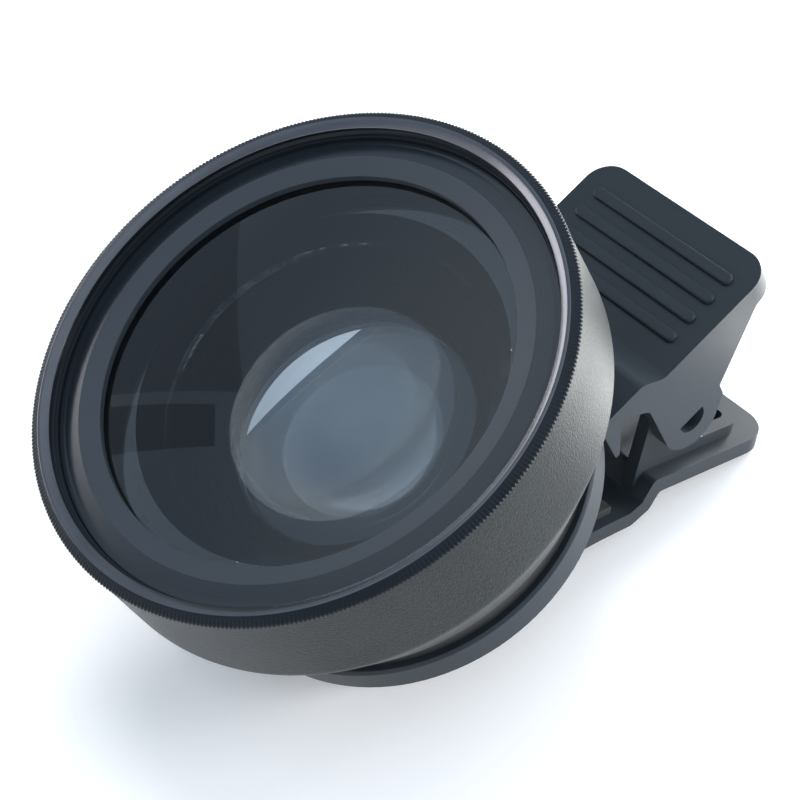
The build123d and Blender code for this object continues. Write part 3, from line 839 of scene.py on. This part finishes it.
def on_inner_facet(radius, level):
    """Inner facet of the trim ring, and the wall under it, which take the lighter painted-light tone."""
    return radius < 21.65 and level > -2.18


def in_bore(radius, level):
    """Steps and mouth of the bell's bore."""
    return (radius < 21.75 and level > -16.85) or (radius < 25.05 and level > -8.45)


# ---------------------------------------------------------------- operators


class CLIPLENS_OT_front_rings(Operator):
    """Build the knurled front ring and the trim ring"""

    bl_idname = "cliplens.front_rings"
    bl_label = "Front Rings"

    def execute(self, context):
        p = context.scene.cliplens_turned
        finish = finish_of("black_gloss_metal")
        outline = finished_outline(FRONT_RING, p.edge_round / MM, FRONT_RING_DENSE, FRONT_RING_STEPS)
        ring = lathe("front_ring_knurled", outline, 4 * p.tooth_count)
        add_ridges(ring, KNURL, -p.tooth_depth, finish, teeth=p.tooth_count)
        add_ridges(
            ring, FILTER_THREAD, INSIDE_THREAD_SHARE * p.thread_depth, finish, pitch=p.thread_pitch
        )
        dressed(ring, "front_ring", "wide", finish)
        repaint(ring, "cut_edge", on_cut_edge)

        trim = lathe("trim_ring_faceted", finished_outline(TRIM_RING, p.edge_round / MM), p.segments)
        weighted(trim)
        dressed(trim, "trim_ring", "wide", finish_of("trim_gloss"))
        # The inner facet gets a lighter tone, painted in for the light it catches.
        repaint(trim, "satin_facet_painted_light", on_inner_facet)
        return {"FINISHED"}


class CLIPLENS_OT_front_barrel(Operator):
    """Build the bell with its cone, its stepped bore and its rear thread"""

    bl_idname = "cliplens.front_barrel"
    bl_label = "Front Barrel"

    def execute(self, context):
        p = context.scene.cliplens_turned
        finish = finish_of("blasted_metal")
        outline = finished_outline(bell_outline(), p.edge_round / MM, BELL_DENSE)
        barrel = lathe("front_barrel_turned", outline, p.segments)
        add_ridges(barrel, BELL_THREAD, -p.thread_depth, finish, pitch=p.thread_pitch)
        weighted(barrel)
        dressed(barrel, "front_barrel", "wide", finish)
        repaint(barrel, "bore_black", in_bore)
        return {"FINISHED"}


class CLIPLENS_OT_macro_barrel(Operator):
    """Build the macro lens barrel, threaded at both ends"""

    bl_idname = "cliplens.macro_barrel"
    bl_label = "Macro Barrel"

    def execute(self, context):
        p = context.scene.cliplens_turned
        finish = finish_of("black_satin_metal")
        outline = finished_outline(MACRO_BARREL, p.edge_round / MM, MACRO_DENSE)
        barrel = lathe("macro_barrel_turned", outline, p.segments)
        add_ridges(barrel, CLIP_THREAD, -p.thread_depth, finish, pitch=p.thread_pitch)
        add_ridges(
            barrel, SOCKET_THREAD, INSIDE_THREAD_SHARE * p.thread_depth, finish, pitch=p.thread_pitch
        )
        weighted(barrel)
        dressed(barrel, "macro_barrel", "macro", finish)
        return {"FINISHED"}


class CLIPLENS_OT_elements(Operator):
    """Build the three glass elements"""

    bl_idname = "cliplens.elements"
    bl_label = "Glass Elements"

    def execute(self, context):
        p = context.scene.cliplens_turned
        finish = finish_of("lens_glass")
        for node, body, front, back, radius in ELEMENTS:
            outline = dome(*front)
            edge = [outline[-1], (radius, front[1]), (radius, back[1]), back[:2]]
            outline += softened(edge, GROUND_EDGE, closed=False)[1:]
            outline += list(reversed(dome(*back)))[1:]
            element = lathe(node + "_ground", outline, p.segments)
            element.data.set_sharp_from_angle(angle=GLASS_SHARP_ANGLE)
            dressed(element, node, body, finish)
        return {"FINISHED"}


class CLIPLENS_OT_retainers(Operator):
    """Give the two inner retainers their finish"""

    bl_idname = "cliplens.retainers"
    bl_label = "Retainers"

    def execute(self, context):
        finish = finish_of("black_satin_metal")
        for node in ("rear_retainer", "macro_retainer"):
            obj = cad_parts[node]
            obj.data.materials.clear()
            obj.data.materials.append(finish)
        return {"FINISHED"}


def moulded(node, name, width, steps):
    """Copy of a CAD piece with its doubled points merged and its edges softened."""
    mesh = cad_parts[node].data.copy()
    mesh.name = name
    obj = placed(name, mesh)
    bm = bmesh.new()
    bm.from_mesh(mesh)
    bmesh.ops.remove_doubles(bm, verts=bm.verts, dist=MERGE_DISTANCE)
    bmesh.ops.dissolve_degenerate(bm, edges=bm.edges, dist=MERGE_DISTANCE)
    bmesh.ops.dissolve_limit(
        bm, angle_limit=FLAT_ANGLE, verts=bm.verts, edges=bm.edges, use_dissolve_boundaries=False
    )
    bmesh.ops.recalc_face_normals(bm, faces=bm.faces)
    for face in bm.faces:
        face.smooth = True
    bm.to_mesh(mesh)
    bm.free()
    bevel = obj.modifiers.new("Bevel", "BEVEL")
    bevel.limit_method = "ANGLE"
    bevel.angle_limit = EDGE_ANGLE
    bevel.width = width
    bevel.segments = steps
    bevel.use_clamp_overlap = True
    bevel.harden_normals = False
    weighted(obj)
    return obj


class CLIPLENS_OT_arms(Operator):
    """Build the two moulded arms of the clip"""

    bl_idname = "cliplens.arms"
    bl_label = "Clip Arms"

    def execute(self, context):
        p = context.scene.cliplens_clip
        finish = finish_of("clip_plastic")
        for node, body in (("ring_arm", "ring"), ("jaw_arm", "jaw")):
            arm = moulded(node, node + "_moulded", p.edge_width, p.edge_steps)
            dressed(arm, node, body, finish, None)
        return {"FINISHED"}


class CLIPLENS_OT_pads(Operator):
    """Build the soft ring and the jaw's pad"""

    bl_idname = "cliplens.pads"
    bl_label = "Soft Pads"

    def execute(self, context):
        p = context.scene.cliplens_turned
        finish = finish_of("pad_rubber")
        ring = lathe("ring_pad_soft", finished_outline(RING_PAD, p.edge_round / MM), p.segments)
        weighted(ring)
        dressed(ring, "ring_pad", "ring", finish)
        pad = moulded("jaw_pad", "jaw_pad_soft", PAD_EDGE, PAD_EDGE_STEPS)
        dressed(pad, "jaw_pad", "jaw", finish, None)
        return {"FINISHED"}


def spring_points(radius, pitch, turns):
    """Middle of the wire in the lens frame, in millimetres, from the upper leg to the lower one."""
    climb = pitch / 4
    arm = hypot(radius, climb)
    lower_x = LOWER_TOUCH[0] * cos(HANDLE_SLOPE) + LOWER_TOUCH[1] * sin(HANDLE_SLOPE)
    lower_z = -LOWER_TOUCH[0] * sin(HANDLE_SLOPE) + LOWER_TOUCH[1] * cos(HANDLE_SLOPE)
    upper_away = hypot(*UPPER_TOUCH)
    lower_away = hypot(lower_x, lower_z)
    upper_start = atan2(UPPER_TOUCH[1], UPPER_TOUCH[0]) + acos(radius / upper_away)
    coil_end = atan2(lower_z, lower_x) - acos(radius / lower_away)
    part = (coil_end - upper_start) % tau
    upper_length = sqrt(upper_away**2 - radius**2)
    lower_length = sqrt(lower_away**2 - radius**2)

    def back(angle):
        """Place on the part turn, that many radians before the whole turns begin."""
        return Vector((radius * cos(angle), -arm * sin(angle), climb * cos(angle) - climb))

    along = Vector((-radius * sin(part), -arm * cos(part), -climb * sin(part))).normalized()
    points = [back(part) + along * upper_length * (1 - k / LEG_STEPS) for k in range(LEG_STEPS)]
    steps = max(FEWEST_ARC_STEPS, round(degrees(part) / ARC_STEP))
    points += [back(part * (1 - k / steps)) for k in range(steps)]
    for half in range(2 * turns):
        sign = -1 if half % 2 else 1
        base = 2 * half * climb
        for k in range(HALF_TURN_STEPS):
            angle = pi * k / HALF_TURN_STEPS
            points.append(Vector((
                sign * radius * cos(angle), sign * arm * sin(angle), base + climb - climb * cos(angle)
            )))
    top = turns * pitch
    points += [Vector((radius, lower_length * k / LEG_STEPS, top)) for k in range(LEG_STEPS + 1)]
    place = (
        Matrix.Translation((HINGE[0], 0, HINGE[1]))
        @ Matrix.Rotation(radians(90), 4, "X")
        @ Matrix.Translation((0, 0, -top / 2))
        @ Matrix.Rotation(coil_end, 4, "Z")
    )
    return [place @ point for point in points]


def tube(name, points, radius):
    """Round wire along a path, with softened ends and a UV that runs along it."""
    bm = bmesh.new()
    uv_layer = bm.loops.layers.uv.new("UVMap")
    count = len(points)
    tangents = []
    for i in range(count):
        a, b = points[max(i - 1, 0)], points[min(i + 1, count - 1)]
        tangents.append((b - a).normalized())
    path = [
        (points[0], tangents[0], WIRE_END_SCALE),
        (points[0] + tangents[0] * WIRE_END_LENGTH * radius, tangents[0], 1.0),
    ]
    path += [(points[i], tangents[i], 1.0) for i in range(1, count - 1)]
    path += [
        (points[-1] - tangents[-1] * WIRE_END_LENGTH * radius, tangents[-1], 1.0),
        (points[-1], tangents[-1], WIRE_END_SCALE),
    ]
    rings, marks = [], []
    side = tangents[0].orthogonal().normalized()
    travelled, before = 0.0, points[0]
    for centre, tangent, scale in path:
        side = (side - tangent * side.dot(tangent)).normalized()
        other = tangent.cross(side)
        travelled += (centre - before).length
        before = centre
        ring = []
        for s in range(WIRE_SIDES):
            angle = tau * s / WIRE_SIDES
            out = side * cos(angle) + other * sin(angle)
            ring.append(bm.verts.new((centre + out * radius * scale) * MM))
        rings.append(ring)
        marks.append(travelled)
    for i in range(len(rings) - 1):
        for s in range(WIRE_SIDES):
            t = (s + 1) % WIRE_SIDES
            face = bm.faces.new((rings[i][s], rings[i][t], rings[i + 1][t], rings[i + 1][s]))
            face.smooth = True
            for loop, (u, v) in zip(face.loops, ((s, i), (s + 1, i), (s + 1, i + 1), (s, i + 1))):
                loop[uv_layer].uv = (u / WIRE_SIDES, marks[v] / marks[-1])
    bm.faces.new(list(reversed(rings[0])))
    bm.faces.new(rings[-1])
    return meshed(name, bm)


class CLIPLENS_OT_spring(Operator):
    """Build the torsion spring, whose legs reach the two arms"""

    bl_idname = "cliplens.spring"
    bl_label = "Torsion Spring"

    def execute(self, context):
        p = context.scene.cliplens_clip
        points = spring_points(p.coil_radius / MM, p.coil_pitch / MM, p.coil_turns)
        spring = tube("torsion_spring_wound", points, p.wire_radius / MM)
        spring.data.transform(LENS_TO_SHARED)
        spring.data.materials.append(finish_of("spring_steel"))
        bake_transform(spring)
        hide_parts("torsion_spring")
        return {"FINISHED"}


def flat(name, corners, material):
    """Flat four-cornered object of the stage, in metres."""
    mesh = bpy.data.meshes.new(name)
    mesh.from_pydata(corners, [], [(0, 1, 2, 3)])
    mesh.materials.append(material)
    obj = placed(name, mesh)
    return obj


def paper(p):
    """Pale paper of the floor, which glows a little, and more far away."""
    s = Shader("floor_paper")
    away = s.node("ShaderNodeVectorMath", operation="LENGTH")
    s.link(s.place, away.inputs[0])
    glow = s.remap(away.outputs["Value"], GLOW_NEAR, GLOW_FAR, p.floor_glow, GLOW_RISE * p.floor_glow)
    s.set(
        Base_Color=s.mix(s.noise(s.place, 40.0, 3.0), PAPER_DARK, PAPER_LIGHT),
        Roughness=0.95, Specular_IOR_Level=0.1, Emission_Color=(1.0, 1.0, 1.0), Emission_Strength=glow,
    )
    return s.material


def add_card(name, colour, strength, corners):
    """Glowing card beside the object that only reflections show."""
    material = bpy.data.materials.new(name)
    material.use_nodes = True
    nodes = material.node_tree.nodes
    nodes.clear()
    out = nodes.new("ShaderNodeOutputMaterial")
    glow = nodes.new("ShaderNodeEmission")
    glow.inputs["Color"].default_value = (*colour, 1)
    glow.inputs["Strength"].default_value = strength
    material.node_tree.links.new(glow.outputs[0], out.inputs["Surface"])
    card = flat(name, corners, material)
    card.visible_camera = False
    card.visible_shadow = False
    card.visible_diffuse = False
    card.visible_transmission = False


def add_surroundings(scene, p):
    """World that is a pale sky to the surfaces and the plain backdrop to the camera."""
    world = bpy.data.worlds.new("studio")
    scene.world = world
    world.use_nodes = True
    nodes, links = world.node_tree.nodes, world.node_tree.links
    nodes.clear()
    out = nodes.new("ShaderNodeOutputWorld")
    sky = nodes.new("ShaderNodeBackground")
    direction = nodes.new("ShaderNodeTexCoord")
    parts = nodes.new("ShaderNodeSeparateXYZ")
    fade = nodes.new("ShaderNodeValToRGB")
    ramp = fade.color_ramp
    ramp.interpolation = "EASE"
    ramp.elements.new(MIDDLE[0])
    levels = (p.horizon_level, p.zenith_level, p.zenith_level)
    for stop, (position, share, colour), level in zip(ramp.elements, (HORIZON, MIDDLE, ZENITH), levels):
        stop.position = position
        stop.color = [share * level * channel for channel in colour] + [1]
    links.new(direction.outputs["Generated"], parts.inputs[0])
    links.new(parts.outputs["Z"], fade.inputs[0])
    links.new(fade.outputs[0], sky.inputs["Color"])
    backdrop = nodes.new("ShaderNodeBackground")
    backdrop.inputs["Color"].default_value = (*p.backdrop, 1)
    backdrop.inputs["Strength"].default_value = 1.0
    rays = nodes.new("ShaderNodeLightPath")
    pick = nodes.new("ShaderNodeMixShader")
    links.new(rays.outputs["Is Camera Ray"], pick.inputs[0])
    links.new(sky.outputs[0], pick.inputs[1])
    links.new(backdrop.outputs[0], pick.inputs[2])
    links.new(pick.outputs[0], out.inputs["Surface"])


def add_light(name, place, size, power, in_reflections):
    """Round soft light that faces the object."""
    data = bpy.data.lights.new(name, "AREA")
    data.shape = "DISK"
    data.size = size
    data.energy = power
    light = placed(name, data)
    light.location = place
    light.rotation_euler = (-Vector(place)).to_track_quat("-Z", "Y").to_euler()
    light.visible_glossy = in_reflections
    light.visible_transmission = False


def add_camera(scene):
    """Camera at the photo's viewing angle."""
    right = LENS_TURN @ Vector(CAMERA_RIGHT).normalized()
    down = LENS_TURN @ Vector(CAMERA_DOWN).normalized()
    forward = LENS_TURN @ Vector(CAMERA_FORWARD).normalized()
    eye = LENS_TO_SHARED @ (Vector(CAMERA_PLACE) * MM)
    data = bpy.data.cameras.new("camera")
    data.sensor_width = CAMERA_SENSOR
    data.lens = CAMERA_LENS
    data.clip_start = 0.01
    data.clip_end = 20.0
    camera = placed("camera", data)
    turn = Matrix((right, -down, -forward)).transposed()
    camera.matrix_world = Matrix.Translation(eye) @ turn.to_4x4()
    scene.camera = camera


class CLIPLENS_OT_stage(Operator):
    """Set up the floor, the lights, the world and the camera"""

    bl_idname = "cliplens.stage"
    bl_label = "Studio"

    def execute(self, context):
        p = context.scene.cliplens_stage
        half = p.floor_size / 2
        corners = ((-half, -half, 0), (half, -half, 0), (half, half, 0), (-half, half, 0))
        flat("floor", corners, paper(p))
        add_surroundings(context.scene, p)
        for card in CARDS:
            add_card(*card)
        for name, place, size, share, in_reflections in LIGHTS:
            add_light(name, place, size, share * p.key_power, in_reflections)
        add_camera(context.scene)
        context.scene.view_settings.view_transform = "Standard"
        return {"FINISHED"}


class CLIPLENS_PT_panel(Panel):
    """Settings and operators of the clip-on lens"""

    bl_idname = "CLIPLENS_PT_panel"
    bl_label = "Clip Lens"
    bl_space_type = "VIEW_3D"
    bl_region_type = "UI"
    bl_category = "Clip Lens"

    def draw(self, context):
        layout = self.layout
        for name in GROUPS:
            group = getattr(context.scene, name)
            box = layout.box()
            for setting in group.__annotations__:
                box.prop(group, setting)
        for operator in OPERATORS:
            layout.operator(operator.bl_idname)


GROUPS = {
    "cliplens_turned": CLIPLENS_PG_turned,
    "cliplens_clip": CLIPLENS_PG_clip,
    "cliplens_finish": CLIPLENS_PG_finish,
    "cliplens_stage": CLIPLENS_PG_stage,
}
OPERATORS = (
    CLIPLENS_OT_front_rings,
    CLIPLENS_OT_front_barrel,
    CLIPLENS_OT_macro_barrel,
    CLIPLENS_OT_elements,
    CLIPLENS_OT_retainers,
    CLIPLENS_OT_arms,
    CLIPLENS_OT_pads,
    CLIPLENS_OT_spring,
    CLIPLENS_OT_stage,
)


def register():
    for cls in (*GROUPS.values(), *OPERATORS, CLIPLENS_PT_panel):
        bpy.utils.register_class(cls)
    for name, cls in GROUPS.items():
        setattr(bpy.types.Scene, name, PointerProperty(type=cls))


def unregister():
    for name in GROUPS:
        delattr(bpy.types.Scene, name)
    for cls in reversed((*GROUPS.values(), *OPERATORS, CLIPLENS_PT_panel)):
        bpy.utils.unregister_class(cls)


def main():
    register()
    bpy.ops.cliplens.front_rings()
    bpy.ops.cliplens.front_barrel()
    bpy.ops.cliplens.macro_barrel()
    bpy.ops.cliplens.elements()
    bpy.ops.cliplens.retainers()
    bpy.ops.cliplens.arms()
    bpy.ops.cliplens.pads()
    bpy.ops.cliplens.spring()
    bpy.ops.cliplens.stage()


if __name__ == "__main__":
    main()
